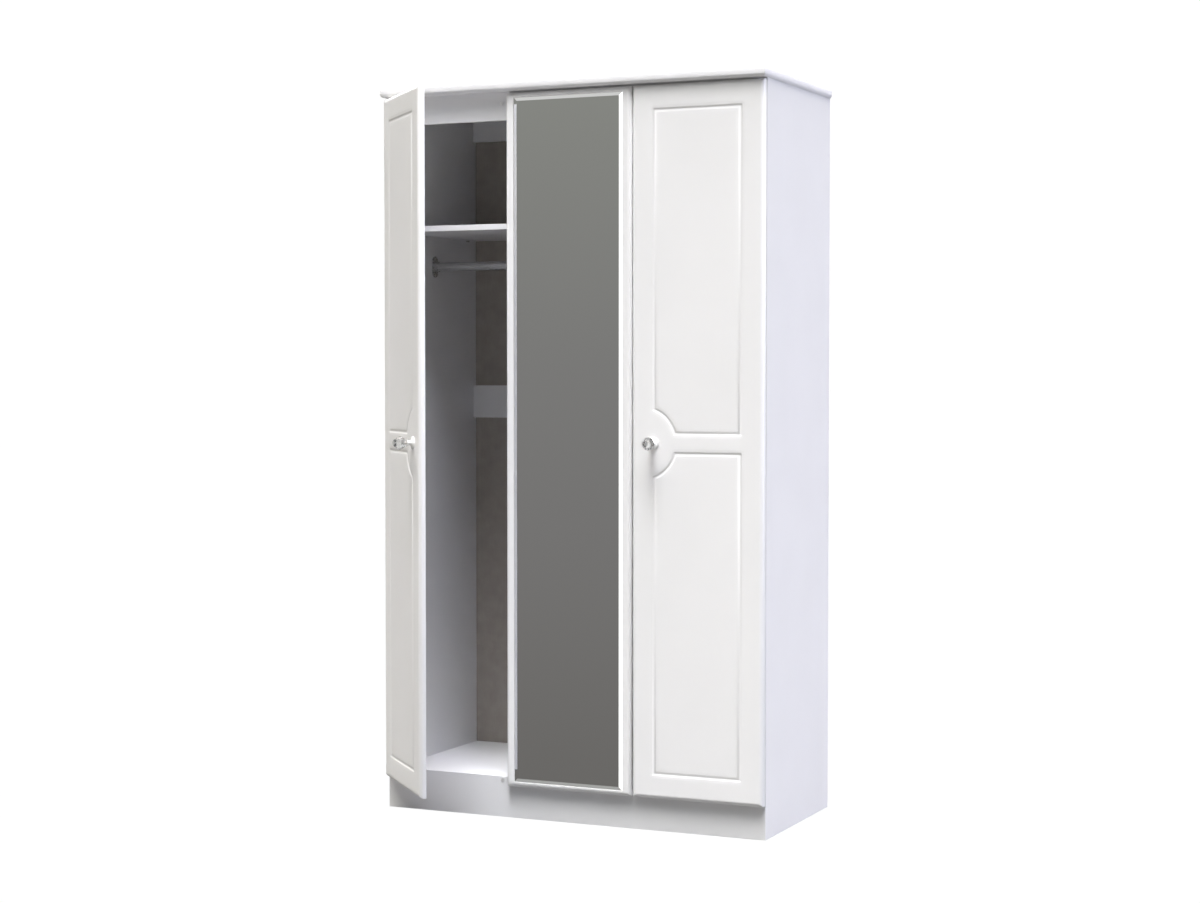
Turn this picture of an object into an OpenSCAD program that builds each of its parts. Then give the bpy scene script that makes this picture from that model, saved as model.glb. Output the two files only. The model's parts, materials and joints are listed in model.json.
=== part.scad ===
// Three-door wardrobe: a two-door carcass and a one-door carcass under one common top board.
// The origin is on the floor, at mid width, in the plane of the back. The front faces -Y.

/* [Carcasses] */
// Height from the floor to the top of the top board
height = 1970; // [1900:10:2100]
// Width of the carcass with two doors
double_w = 737.5; // [700:0.5:800]
// Width of the carcass with one door
single_w = 368; // [350:0.5:400]
// Depth from the back to the front edges of the gables
carcass_d = 495; // [450:1:580]
// Thickness of the gables, shelves and rails
board_t = 15; // [15:1:18]
// Thickness of the back panels
back_t = 3; // [3:1:4]
// Height of the plinth under the base boards
plinth_h = 95; // [80:1:110]
// Height of the rails under the top board
top_rail_h = 74.5; // [60:0.5:90]
// Underside of the rail half way up the back
mid_rail_z = 1068; // [900:1:1200]
// Height of the rail half way up the back
mid_rail_h = 94; // [60:1:110]
// Underside of the hat shelves
shelf_z = 1584.5; // [1560:0.5:1640]
// Distance from the front of the gables to the front of the hat shelves
shelf_setback = 20; // [15:1:40]

/* [Top board] */
// Thickness of the top board
top_t = 22; // [18:1:28]
// Overhang of the top board at each side
top_side = 5.5; // [2:0.5:10]
// Overhang of the top board in front of the gables
top_front = 31; // [28:1:40]
// Radius under the front and side edges of the top board
top_round = 8; // [4:1:10]

/* [Doors] */
// Thickness of the doors
door_t = 18; // [16:1:19]
// Gap between the backs of the doors and the gables
door_gap = 2; // [2:0.5:3]
// Bottom edge of the doors above the floor
door_bottom = 87.5; // [85:0.5:92]
// Gap between the doors and the top board
door_top_gap = 4; // [2:0.5:5]
// Distance from a door's hinged edge to the outer face of its gable
hinge_inset = 1; // [0.6:0.1:1]
// Gap between the two doors of the wide carcass
middle_gap = 5.5; // [4:0.5:6]
// Distance from the right door's free edge to the joint of the carcasses
single_inset = 2; // [2:0.5:4]
// Radius round the front edges of the doors
door_round = 11; // [6:1:11]
// Opening angle of the left door
left_open = 46; // [0:1:96]
// Opening angle of the centre door
centre_open = 0; // [0:1:96]
// Opening angle of the right door
right_open = 0; // [0:1:96]

/* [Panel moulding] */
// Width of the flat stiles beside the moulding
stile_w = 51; // [45:1:60]
// Width of the flat strips above and below the moulding
strip_w = 54; // [45:1:60]
// Half the height of the flat rail between the two fields
half_rail = 14; // [10:1:20]
// Width of the routed moulding
moulding_w = 25; // [20:1:30]
// Depth of the routed moulding
moulding_depth = 2.5; // [2:0.5:4]
// Radius of the flat round area behind the knob
knob_field_r = 82; // [70:1:90]
// Distance from the door's free edge to the centre of that area
knob_field_x = 31; // [25:1:35]

/* [Mirror] */
// Thickness of the mirror glass
glass_t = 4; // [3:0.5:4]
// Thickness of the adhesive pads behind the glass
pad_t = 1; // [0.5:0.5:1]
// Width of the wooden frame beside the mirror
mirror_margin = 24.5; // [20:0.5:40]
// Width of the wooden frame above and below the mirror
mirror_end_margin = 14.5; // [10:0.5:40]
// Width of the bevel round the mirror
bevel_w = 9; // [5:1:15]
// Depth of the bevel at the edge of the mirror
bevel_depth = 1.5; // [0.5:0.5:2]

/* [Knobs and rails] */
// Distance from the door's free edge to the knob
knob_x = 60; // [50:1:70]
// Widest diameter of the crystal
crystal_d = 35; // [28:1:36]
// Diameter of the hanging rails
rail_d = 25; // [20:1:30]
// Height of the axis of the hanging rails
rail_z = 1499; // [1450:1:1520]
// Distance from the front of the gables to the axis of the hanging rails
rail_y = 240; // [200:5:280]

/* [Hidden] */
$fn = 48;

// Clearance that keeps a cutting shape clear of the face it cuts through
over = 1;
// Radial clearance between a fastener and its hole
fastener_play = 0.05;
// Depth of a blind hole beyond the end of its screw or nail
hole_end = 0.5;

// Carcasses
total_w = double_w + single_w;
left_x = -total_w / 2;
seam_x = left_x + double_w;
right_x = total_w / 2;
carcass_top = height - top_t;
rebate_w = 8;

// Dowels, as [distance from the gable fronts, height] of each
dowel_r = 4;
dowel_len = 30;
dowel_in_gable = 10;
top_rail_mid = carcass_top - top_rail_h / 2;
rear_rail_y = carcass_d - back_t - board_t / 2;
dowel_pitch = 36;
dowel_margin = 60;
dowel_spots = [
    [dowel_margin, plinth_h + board_t / 2],
    [carcass_d / 2, plinth_h + board_t / 2],
    [carcass_d - dowel_margin, plinth_h + board_t / 2],
    for (dz = [-dowel_pitch / 2, dowel_pitch / 2]) each [
        [board_t / 2, plinth_h / 2 + dz],
        [carcass_d - board_t / 2, plinth_h / 2 + dz],
        [board_t / 2, top_rail_mid + dz],
        [rear_rail_y, top_rail_mid + dz],
        [rear_rail_y, mid_rail_z + mid_rail_h / 2 + dz],
    ],
];
top_dowel_margin = 100;
top_dowel_y = [top_dowel_margin, carcass_d - top_dowel_margin];

// Shelf pins and joining bolts
pin_r = 2.5;
pin_len = 13;
pin_in = 5;
pin_margin = 60;
pin_y = [pin_margin, carcass_d - pin_margin];
bolt_r = 2.5;
bolt_head_r = 7;
bolt_head_t = 2;
bolt_margin = 80;
bolt_spots = [for (y = [bolt_margin, carcass_d - bolt_margin], z = [250, 1700]) [y, z]];

// Nails round the back panels
nail_r = 0.7;
nail_len = 16;
nail_head_r = 2.2;
nail_head_t = 0.7;
nail_pitch = 150;
nail_edge = 4;

// Hanging rails and their sockets
rail_wall = 1.2;
socket_flange = [3, 30, 60];
socket_len = 15;
socket_wall = 2;
socket_screw_dz = 23;
socket_screw_len = 11;
screw_r = 1.75;
screw_head_r = 3.5;
screw_head_t = 1.6;

// Doors
door_top = carcass_top - door_top_gap;
door_h = door_top - door_bottom;
door_mid = (door_top + door_bottom) / 2;
door_front = -door_gap - door_t;
double_door_w = (double_w - 2 * hinge_inset - middle_gap) / 2;
single_door_w = single_w - hinge_inset - single_inset;

// Hinges: the link turns on the pin in the arm, and the cup turns on the pin in the link
hinge_z = [190, 735, 1280, 1830];
arm_pin = [40.5, 3];
cup_pin = [9.5, -6];
link_ratio = 0.25;
hinge_pin_r = 1.2;
pin_play = 0.05;
cup_r = 17.5;
cup_inner_r = 16;
cup_depth = 12;
cup_floor = 1;
cup_x = 21.5;
cup_flange_t = 1;
cup_screw = [9.5, 22.5];
cup_screw_len = 12;
link_half_h = 4.5;
link_t = 2;
eye_r = 2.6;
arm_eye_r = 3;
cheek_gap = 0.4;
arm_half_h = 7;
link_path = [cup_pin, [13.5, -10.5], [23.5, -10.5], [33.5, -0.5], arm_pin];
plate_y = [22, 54];
plate_block_h = 7;
plate_wing = [2, 12, 50];
system_hole_y = 37;
plate_screw_dz = 16;
plate_screw_len = 12;
arm_floor = 3;
arm_screw_y = [33, 48];
arm_screw_r = 3;

// Knobs, as [radius, distance out of the door's front]
knob_bolt_r = 2;
knob_bolt_in = 26;
knob_seat = [9, 17];
rose_profile = [[17, 0], [17, 1.5], [14, 3], [7, 4.5], [5.5, 8], [5.5, 13], [9, 16], knob_seat];
crystal_widest = [33, 36];
crystal_shoulder = [0.75, 46];
crystal_table = [0.43, 52];

function turn(p, a) = [p.x * cos(a) - p.y * sin(a), p.x * sin(a) + p.y * cos(a)];
function cup_pin_at(open) = arm_pin + turn(cup_pin - arm_pin, link_ratio * open);

// Each door is drawn hinged on the left, with x from its gable's outer face
// and y from the gables' front edges.
module left_place() {
    translate([left_x, -carcass_d, 0])
        children();
}

module centre_place() {
    translate([seam_x, -carcass_d, 0])
        mirror([1, 0, 0])
            children();
}

module right_place() {
    translate([right_x, -carcass_d, 0])
        mirror([1, 0, 0])
            children();
}

// Moves a closed hinge link to its place at an opening angle
module swing_link(open) {
    translate([arm_pin.x, arm_pin.y, 0])
        rotate(link_ratio * open)
            translate([-arm_pin.x, -arm_pin.y, 0])
                children();
}

// Moves a closed door to its place at an opening angle
module swing_door(open) {
    pin = cup_pin_at(open);
    translate([pin.x, pin.y, 0])
        rotate(-open)
            translate([-cup_pin.x, -cup_pin.y, 0])
                children();
}

// Puts a copy of its children at each hinge
module each_hinge() {
    for (z = hinge_z)
        translate([0, 0, z])
            children();
}

// A round bar along +X
module bar_x(r, len) {
    rotate([0, 90, 0])
        cylinder(r = r, h = len);
}

// A round bar along +Y
module bar_y(r, len) {
    rotate([-90, 0, 0])
        cylinder(r = r, h = len);
}

// Cuts a round along +Z on the corner at the origin of a solid in the +X +Y quadrant
module round_cut(r, len) {
    translate([0, 0, -over])
        linear_extrude(len + 2 * over)
            difference() {
                translate([-over, -over])
                    square(r + over);
                translate([r, r])
                    circle(r);
            }
}

// The same along +X, on the corner of a solid in the +Y +Z quadrant
module round_cut_x(r, len) {
    rotate([90, 0, 90])
        round_cut(r, len);
}

// ---------- Carcasses ----------

// Dowels or their holes at both ends of the boards between two gables
module end_dowels(x0, x1, play) {
    for (s = dowel_spots) {
        translate([x0 + board_t - dowel_in_gable, s[0] - carcass_d, s[1]])
            bar_x(dowel_r + play, dowel_len);
        translate([x1 - board_t + dowel_in_gable - dowel_len, s[0] - carcass_d, s[1]])
            bar_x(dowel_r + play, dowel_len);
    }
}

// Upright dowels between a gable and the top board, or their holes
module top_dowels(gable_x, play) {
    for (y = top_dowel_y)
        translate([gable_x + board_t / 2, y - carcass_d, carcass_top - dowel_len + dowel_in_gable])
            cylinder(r = dowel_r + play, h = dowel_len);
}

// Bolts' holes through the two gables that stand side by side
module joining_bolt_holes() {
    for (s = bolt_spots)
        translate([seam_x - board_t - over, s[0] - carcass_d, s[1]])
            bar_x(bolt_r + fastener_play, 2 * board_t + 2 * over);
}

// Blind hole in the inner face of a gable for a fastener that goes in by a given length;
// side is 1 when the inner face looks to +X
module gable_hole(inner_x, side, y, z, r, len) {
    translate([inner_x, y - carcass_d, z])
        rotate([0, 0, side > 0 ? 180 : 0])
            translate([-over, 0, 0])
                bar_x(r + fastener_play, over + len + hole_end);
}

// Holes for the pins of the hat shelf
module pin_holes(inner_x, side) {
    for (y = pin_y)
        gable_hole(inner_x, side, y, shelf_z - pin_r, pin_r, pin_in);
}

// Pilot holes for the two screws of a rail socket
module socket_screw_holes(inner_x, side) {
    for (dz = [-socket_screw_dz, socket_screw_dz])
        gable_hole(inner_x, side, rail_y, rail_z + dz, screw_r, socket_screw_len - socket_flange.x);
}

// Holes for the screws of the hinge plates
module plate_screw_holes(inner_x, side) {
    for (z = hinge_z, dz = [-plate_screw_dz, plate_screw_dz])
        gable_hole(inner_x, side, system_hole_y, z + dz, pin_r, plate_screw_len - plate_wing.x);
}

// Where the nails go through the back panel of a carcass, as [x, height]
function nail_spots(x0, x1) =
    let (
        z0 = plinth_h + board_t / 2,
        z1 = carcass_top - board_t / 2,
        rows = round((z1 - z0) / nail_pitch),
        xa = x0 + board_t - nail_edge,
        xb = x1 - board_t + nail_edge,
        columns = round((xb - xa) / nail_pitch)
    ) [
        for (i = [0 : rows], x = [xa, xb]) [x, z0 + (z1 - z0) * i / rows],
        for (i = [1 : columns - 1], z = [z0, mid_rail_z + mid_rail_h / 2, z1])
            [xa + (xb - xa) * i / columns, z],
    ];

// Nails with flat heads, or their holes
module nails(x0, x1, play, end) {
    for (s = nail_spots(x0, x1))
        translate([s[0], 0, s[1]])
            rotate([90, 0, 0]) {
                translate([0, 0, -end])
                    cylinder(r = nail_head_r + play, h = nail_head_t + end);
                cylinder(r = nail_r + play, h = nail_len + end);
            }
}

// An upright side board; x is its lower X face, side is 1 when its inner face looks to +X
module gable(x, side, hinged) {
    inner_x = side > 0 ? x + board_t : x;
    rebate_x = side > 0 ? inner_x - rebate_w : inner_x - over;
    difference() {
        translate([x, -carcass_d, 0])
            cube([board_t, carcass_d, carcass_top]);
        translate([rebate_x, -back_t, plinth_h])
            cube([rebate_w + over, back_t + over, carcass_top]);
        top_dowels(x, fastener_play);
        pin_holes(inner_x, side);
        socket_screw_holes(inner_x, side);
        nails(left_x, seam_x, fastener_play, hole_end);
        nails(seam_x, right_x, fastener_play, hole_end);
        if (hinged)
            plate_screw_holes(inner_x, side);
        children();
    }
}

// A board between two gables, with its holes for dowels and nails
module cross_board(x0, x1, y, z, depth, h) {
    difference() {
        translate([x0 + board_t, y, z])
            cube([x1 - x0 - 2 * board_t, depth, h]);
        end_dowels(x0, x1, fastener_play);
        nails(x0, x1, fastener_play, hole_end);
    }
}

module base_board(x0, x1) {
    cross_board(x0, x1, -carcass_d, plinth_h, carcass_d - back_t, board_t);
}

module front_plinth(x0, x1) {
    cross_board(x0, x1, -carcass_d, 0, board_t, plinth_h);
}

module rear_plinth(x0, x1) {
    cross_board(x0, x1, -board_t, 0, board_t, plinth_h);
}

module front_top_rail(x0, x1) {
    cross_board(x0, x1, -carcass_d, carcass_top - top_rail_h, board_t, top_rail_h);
}

module rear_top_rail(x0, x1) {
    cross_board(x0, x1, -back_t - board_t, carcass_top - top_rail_h, board_t, top_rail_h);
}

module rear_mid_rail(x0, x1) {
    cross_board(x0, x1, -back_t - board_t, mid_rail_z, board_t, mid_rail_h);
}

// A hardboard sheet nailed into the gables' rebates
module back_panel(x0, x1) {
    rebate_play = 1;
    margin = board_t - rebate_w + rebate_play;
    difference() {
        translate([x0 + margin, -back_t, plinth_h])
            cube([x1 - x0 - 2 * margin, back_t, carcass_top - plinth_h]);
        nails(x0, x1, fastener_play, hole_end);
    }
}

module hat_shelf(x0, x1) {
    play = 0.5;
    translate([x0 + board_t + play, shelf_setback - carcass_d, shelf_z])
        cube([
            x1 - x0 - 2 * board_t - 2 * play,
            carcass_d - shelf_setback - back_t - 2 * play,
            board_t,
        ]);
}

// A tube whose ends sit in the two sockets
module hanging_rail(x0, x1) {
    end_gap = socket_flange.x + over;
    len = x1 - x0 - 2 * board_t - 2 * end_gap;
    translate([x0 + board_t + end_gap, rail_y - carcass_d, rail_z])
        difference() {
            bar_x(rail_d / 2, len);
            translate([-over, 0, 0])
                bar_x(rail_d / 2 - rail_wall, len + 2 * over);
        }
}

// One socket on a gable's inner face, with its collar towards +X
module rail_socket() {
    collar_r = rail_d / 2 + socket_wall;
    oval = socket_flange.z - socket_flange.y;
    difference() {
        union() {
            rotate([0, 90, 0])
                linear_extrude(socket_flange.x) {
                    square([oval, socket_flange.y], center = true);
                    for (x = [-oval / 2, oval / 2])
                        translate([x, 0])
                            circle(socket_flange.y / 2);
                }
            bar_x(collar_r, socket_len);
        }
        translate([socket_flange.x, 0, 0])
            bar_x(rail_d / 2 + 2 * fastener_play, socket_len);
        for (dz = [-socket_screw_dz, socket_screw_dz])
            translate([-over, 0, dz])
                bar_x(screw_r + fastener_play, socket_flange.x + 2 * over);
    }
}

module rail_sockets(x0, x1) {
    translate([x0 + board_t, rail_y - carcass_d, rail_z])
        rail_socket();
    translate([x1 - board_t, rail_y - carcass_d, rail_z])
        mirror([1, 0, 0])
            rail_socket();
}

// A screw that points to -X, with the underside of its head at the origin
module small_screw(len) {
    bar_x(screw_head_r, screw_head_t);
    translate([-len, 0, 0])
        bar_x(screw_r, len);
}

module double_left_gable() {
    color("white")
        gable(left_x, 1, true)
            end_dowels(left_x, seam_x, fastener_play);
}

module double_right_gable() {
    color("white")
        gable(seam_x - board_t, -1, true) {
            end_dowels(left_x, seam_x, fastener_play);
            joining_bolt_holes();
        }
}

module single_left_gable() {
    color("white")
        gable(seam_x, 1, false) {
            end_dowels(seam_x, right_x, fastener_play);
            joining_bolt_holes();
        }
}

module single_right_gable() {
    color("white")
        gable(right_x - board_t, -1, true)
            end_dowels(seam_x, right_x, fastener_play);
}

module top_board() {
    w = total_w + 2 * top_side;
    d = carcass_d + top_front;
    color("white")
        difference() {
            translate([-w / 2, -d, carcass_top])
                cube([w, d, top_t]);
            translate([-w / 2, -d, carcass_top])
                round_cut_x(top_round, w);
            for (flip = [0, 1])
                mirror([flip, 0, 0])
                    translate([-w / 2, 0, carcass_top])
                        rotate([90, 0, 0])
                            round_cut(top_round, d);
            for (x = [left_x, seam_x - board_t, seam_x, right_x - board_t])
                top_dowels(x, fastener_play);
        }
}

module carcass_dowels() {
    color("burlywood") {
        end_dowels(left_x, seam_x, 0);
        end_dowels(seam_x, right_x, 0);
        for (x = [left_x, seam_x - board_t, seam_x, right_x - board_t])
            top_dowels(x, 0);
    }
}

// Sleeve bolts with a flat head on each side of the two gables
module carcass_joining_bolts() {
    color("silver")
        for (s = bolt_spots)
            translate([seam_x - board_t, s[0] - carcass_d, s[1]]) {
                translate([-bolt_head_t, 0, 0])
                    bar_x(bolt_head_r, bolt_head_t);
                bar_x(bolt_r, 2 * board_t);
                translate([2 * board_t, 0, 0])
                    bar_x(bolt_head_r, bolt_head_t);
            }
}

module shelf_pins() {
    color("silver")
        for (b = [[left_x, seam_x], [seam_x, right_x]], y = pin_y) {
            translate([b[0] + board_t - pin_in, y - carcass_d, shelf_z - pin_r])
                bar_x(pin_r, pin_len);
            translate([b[1] - board_t + pin_in - pin_len, y - carcass_d, shelf_z - pin_r])
                bar_x(pin_r, pin_len);
        }
}

module rail_socket_screws() {
    color("silver")
        for (b = [[left_x, seam_x], [seam_x, right_x]], dz = [-socket_screw_dz, socket_screw_dz]) {
            translate([b[0] + board_t + socket_flange.x, rail_y - carcass_d, rail_z + dz])
                small_screw(socket_screw_len);
            translate([b[1] - board_t - socket_flange.x, rail_y - carcass_d, rail_z + dz])
                mirror([1, 0, 0])
                    small_screw(socket_screw_len);
        }
}

module back_panel_nails() {
    color("silver") {
        nails(left_x, seam_x, 0, 0);
        nails(seam_x, right_x, 0, 0);
    }
}

// Soft pads that the closed doors rest against, near the free edges of the doors
module door_buffers() {
    buffer_r = 5;
    buffer_t = door_gap - 0.3;
    inset = 15;
    seam_z = 150;
    free_left = left_x + hinge_inset + double_door_w - inset;
    free_centre = free_left + middle_gap + 2 * inset;
    free_right = seam_x + board_t / 2 + over;
    base_z = plinth_h + board_t / 2;
    top_z = carcass_top - 2 * inset;
    spots = [
        [free_left, base_z], [free_left, top_z],
        [free_centre, base_z], [free_centre, top_z],
        [free_right, seam_z], [free_right, top_z],
    ];
    color("whitesmoke")
        for (s = spots)
            translate([s[0], -carcass_d - buffer_t, s[1]])
                bar_y(buffer_r, buffer_t);
}

// ---------- Hinges ----------

// Mounting plate on the gable's inner face: two wings and a raised block
module hinge_plate() {
    block = [plate_block_h, plate_y[1] - plate_y[0], 13];
    difference() {
        union() {
            translate([board_t, system_hole_y - plate_wing.y / 2, -plate_wing.z / 2])
                cube(plate_wing);
            translate([board_t, plate_y[0], -block.z / 2])
                cube(block);
        }
        for (dz = [-plate_screw_dz, plate_screw_dz])
            translate([board_t - over, system_hole_y, dz])
                bar_x(pin_r + fastener_play, plate_wing.x + 2 * over);
    }
}

// Arm that clips over the plate and carries the link's pin between its cheeks
module hinge_arm() {
    slot_half = link_half_h + cheek_gap;
    arm_x = board_t + plate_block_h;
    slot_end = 13;
    front_h = 14;
    back_h = 11;
    slope = 8;
    overlap = 2;
    reach = 30;
    difference() {
        translate([0, 0, -arm_half_h])
            linear_extrude(2 * arm_half_h) {
                translate(arm_pin)
                    circle(arm_eye_r);
                polygon([
                    [arm_pin.x + arm_eye_r, arm_pin.y],
                    [arm_pin.x + arm_eye_r, plate_y[0] - overlap],
                    [arm_x + front_h, plate_y[0] + slope],
                    [arm_x + back_h, plate_y[1] + overlap],
                    [arm_x, plate_y[1] + overlap],
                    [arm_x, plate_y[0]],
                    [arm_pin.x - arm_eye_r, slot_end - over],
                    [arm_pin.x - arm_eye_r, arm_pin.y],
                ]);
            }
        translate([arm_x - over, arm_pin.y - 2 * arm_eye_r, -slot_half])
            cube([reach, slot_end + arm_eye_r, 2 * slot_half]);
        translate([arm_pin.x, arm_pin.y, -arm_half_h - over])
            cylinder(r = hinge_pin_r + pin_play / 2, h = 2 * arm_half_h + 2 * over);
        for (y = arm_screw_y)
            translate([arm_x + arm_floor, y, 0])
                bar_x(arm_screw_r + fastener_play, reach);
    }
}

// Goose-necked link between the two pins, drawn closed
module hinge_link() {
    difference() {
        translate([0, 0, -link_half_h])
            linear_extrude(2 * link_half_h) {
                for (i = [0 : len(link_path) - 2]) {
                    a = link_path[i];
                    b = link_path[i + 1];
                    translate(a)
                        rotate(atan2(b.y - a.y, b.x - a.x))
                            translate([0, -link_t / 2])
                                square([norm(b - a), link_t]);
                }
                for (i = [1 : len(link_path) - 2])
                    translate(link_path[i])
                        circle(link_t / 2);
                translate(cup_pin)
                    circle(eye_r);
                translate(arm_pin)
                    circle(eye_r);
            }
        for (p = [cup_pin, arm_pin])
            translate([p.x, p.y, -link_half_h - over])
                cylinder(r = hinge_pin_r + pin_play, h = 2 * link_half_h + 2 * over);
    }
}

// Round cup let into the back of the door, drawn closed
module hinge_cup() {
    flange = [cup_r, cup_flange_t, 60];
    boss_in = link_half_h + cheek_gap;
    boss_end = 4;
    wall_h = cup_depth + cup_flange_t;
    difference() {
        union() {
            translate([cup_x, -door_gap - cup_depth, 0])
                bar_y(cup_r, wall_h);
            translate([cup_x, -door_gap, -flange.z / 2])
                cube(flange);
        }
        translate([cup_x, -door_gap - cup_depth + cup_floor, 0])
            intersection() {
                bar_y(cup_inner_r, wall_h);
                union() {
                    translate([-cup_r, 0, -boss_in])
                        cube([2 * cup_r, wall_h, 2 * boss_in]);
                    translate([cup_pin.x + boss_end - cup_x, 0, -cup_r])
                        cube([2 * cup_r, wall_h, 2 * cup_r]);
                }
            }
        translate([cup_pin.x, cup_pin.y, -cup_r])
            cylinder(r = hinge_pin_r + pin_play / 2, h = 2 * cup_r);
        for (dz = [-cup_screw[1], cup_screw[1]])
            translate([cup_x + cup_screw[0], -door_gap - over, dz])
                bar_y(screw_r + fastener_play, cup_flange_t + 2 * over);
    }
}

// Bores for a cup and its two screws in the back of a closed door
module cup_bore() {
    translate([cup_x, -door_gap - cup_depth - fastener_play, 0])
        bar_y(cup_r + fastener_play, cup_depth + over);
    for (dz = [-cup_screw[1], cup_screw[1]])
        translate([cup_x + cup_screw[0], -door_gap - cup_screw_len, dz])
            bar_y(screw_r + fastener_play, cup_screw_len + over);
}

module place_on_gables() {
    left_place()
        each_hinge()
            children();
    centre_place()
        each_hinge()
            children();
    right_place()
        each_hinge()
            children();
}

module hinge_plates() {
    color("silver")
        place_on_gables()
            hinge_plate();
}

module hinge_arms() {
    color("silver")
        place_on_gables()
            hinge_arm();
}

module hinge_arm_pins() {
    color("gray")
        place_on_gables()
            translate([arm_pin.x, arm_pin.y, -arm_half_h])
                cylinder(r = hinge_pin_r, h = 2 * arm_half_h);
}

module hinge_plate_screws() {
    head = [4.2, 1.8];
    color("gray")
        place_on_gables()
            for (dz = [-plate_screw_dz, plate_screw_dz])
                translate([board_t + plate_wing.x, system_hole_y, dz]) {
                    bar_x(head[0], head[1]);
                    translate([-plate_screw_len, 0, 0])
                        bar_x(pin_r, plate_screw_len);
                }
}

// Fixing and overlay screws in the arms
module hinge_adjusting_screws() {
    len = 8;
    color("gray")
        place_on_gables()
            for (y = arm_screw_y)
                translate([board_t + plate_block_h + arm_floor, y, 0])
                    bar_x(arm_screw_r, len);
}

module links() {
    color("silver")
        each_hinge()
            hinge_link();
}

module cups() {
    color("silver")
        each_hinge()
            hinge_cup();
}

// Pins across the cups, on which the links turn
module cup_pins() {
    half = 11;
    color("gray")
        each_hinge()
            translate([cup_pin.x, cup_pin.y, -half])
                cylinder(r = hinge_pin_r, h = 2 * half);
}

// Two screws through the flange of each cup
module cup_screws() {
    head_t = 1.4;
    color("gray")
        each_hinge()
            for (dz = [-cup_screw[1], cup_screw[1]])
                translate([cup_x + cup_screw[0], cup_flange_t - door_gap, dz]) {
                    translate([0, -cup_screw_len, 0])
                        bar_y(screw_r, cup_screw_len);
                    bar_y(screw_head_r, head_t - cup_flange_t);
                }
}

// ---------- Doors ----------

// Slab with rounded front edges and four cup bores, drawn closed
module door_slab(w) {
    difference() {
        translate([hinge_inset, door_front, door_bottom])
            cube([w, door_t, door_h]);
        translate([hinge_inset, door_front, door_bottom])
            round_cut(door_round, door_h);
        translate([hinge_inset + w, door_front, door_bottom])
            mirror([1, 0, 0])
                round_cut(door_round, door_h);
        translate([hinge_inset, door_front, door_bottom])
            round_cut_x(door_round, w);
        translate([hinge_inset, door_front, door_top])
            mirror([0, 0, 1])
                round_cut_x(door_round, w);
        each_hinge()
            cup_bore();
    }
}

// Outline of the upper field, a given distance inside the outer edge of its moulding
module field_outline(w, inside) {
    x0 = hinge_inset + stile_w + inside;
    x1 = hinge_inset + w - stile_w - inside;
    z0 = door_mid + half_rail + inside;
    z1 = door_top - strip_w - inside;
    difference() {
        translate([x0, z0])
            square([x1 - x0, z1 - z0]);
        translate([hinge_inset + w - knob_field_x, door_mid])
            circle(knob_field_r + inside, $fn = 96);
    }
}

// Cuts the ring between two outlines into the front of a closed door, above and below the middle rail
module moulding_cut(w, from, to, depth) {
    for (flip = [0, 1])
        translate([0, 0, door_mid])
            mirror([0, 0, flip])
                translate([0, door_front + depth, -door_mid])
                    rotate([90, 0, 0])
                        linear_extrude(depth + over)
                            difference() {
                                field_outline(w, from);
                                field_outline(w, to);
                            }
}

// Door with two framed fields and a hole for the knob's bolt, drawn closed
module panelled_door(w) {
    color("white")
        difference() {
            door_slab(w);
            moulding_cut(w, 0, moulding_w, moulding_depth / 2);
            moulding_cut(w, moulding_w / 4, moulding_w * 3 / 4, moulding_depth);
            translate([hinge_inset + w - knob_x, door_front - over, door_mid])
                bar_y(knob_bolt_r + fastener_play, door_t + 2 * over);
        }
}

module knob_place(w) {
    translate([hinge_inset + w - knob_x, door_front, door_mid])
        rotate([90, 0, 0])
            children();
}

// Round chrome base and neck
module knob_rose(w) {
    bore = knob_bolt_r + fastener_play;
    color("silver")
        knob_place(w)
            rotate_extrude()
                polygon([[bore, 0], each rose_profile, [bore, knob_seat[1]]]);
}

// Cut-glass head
module knob_crystal(w) {
    bore = knob_bolt_r + fastener_play;
    r = crystal_d / 2;
    color("lightcyan")
        knob_place(w)
            rotate_extrude()
                polygon([
                    [bore, knob_seat[1]],
                    knob_seat,
                    [r, crystal_widest[0]],
                    [r, crystal_widest[1]],
                    [r * crystal_shoulder[0], crystal_shoulder[1]],
                    [r * crystal_table[0], crystal_table[1]],
                    [0, crystal_table[1]],
                    [0, knob_bolt_in + over],
                    [bore, knob_bolt_in + over],
                ]);
}

// Bolt from the back of the door into the head
module knob_bolt(w) {
    head = [4.5, 1.2];
    color("gray")
        knob_place(w) {
            translate([0, 0, -door_t - head[1]])
                cylinder(r = head[0], h = head[1]);
            translate([0, 0, -door_t])
                cylinder(r = knob_bolt_r, h = door_t + knob_bolt_in);
        }
}

// Door with a shallow recess for the mirror, drawn closed
module mirror_door(w) {
    play = 0.5;
    margin = mirror_margin - play;
    end_margin = mirror_end_margin - play;
    color("white")
        difference() {
            door_slab(w);
            translate([hinge_inset + margin, door_front - over, door_bottom + end_margin])
                cube([w - 2 * margin, glass_t + pad_t + over, door_h - 2 * end_margin]);
        }
}

// Bevel along +Z on the corner at the origin of a plate in the +X +Y quadrant
module bevel_cut(len) {
    translate([0, 0, -over])
        linear_extrude(len + 2 * over)
            polygon([
                [-over, -over],
                [bevel_w, -over],
                [bevel_w, 0],
                [0, bevel_depth],
                [-over, bevel_depth],
            ]);
}

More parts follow.
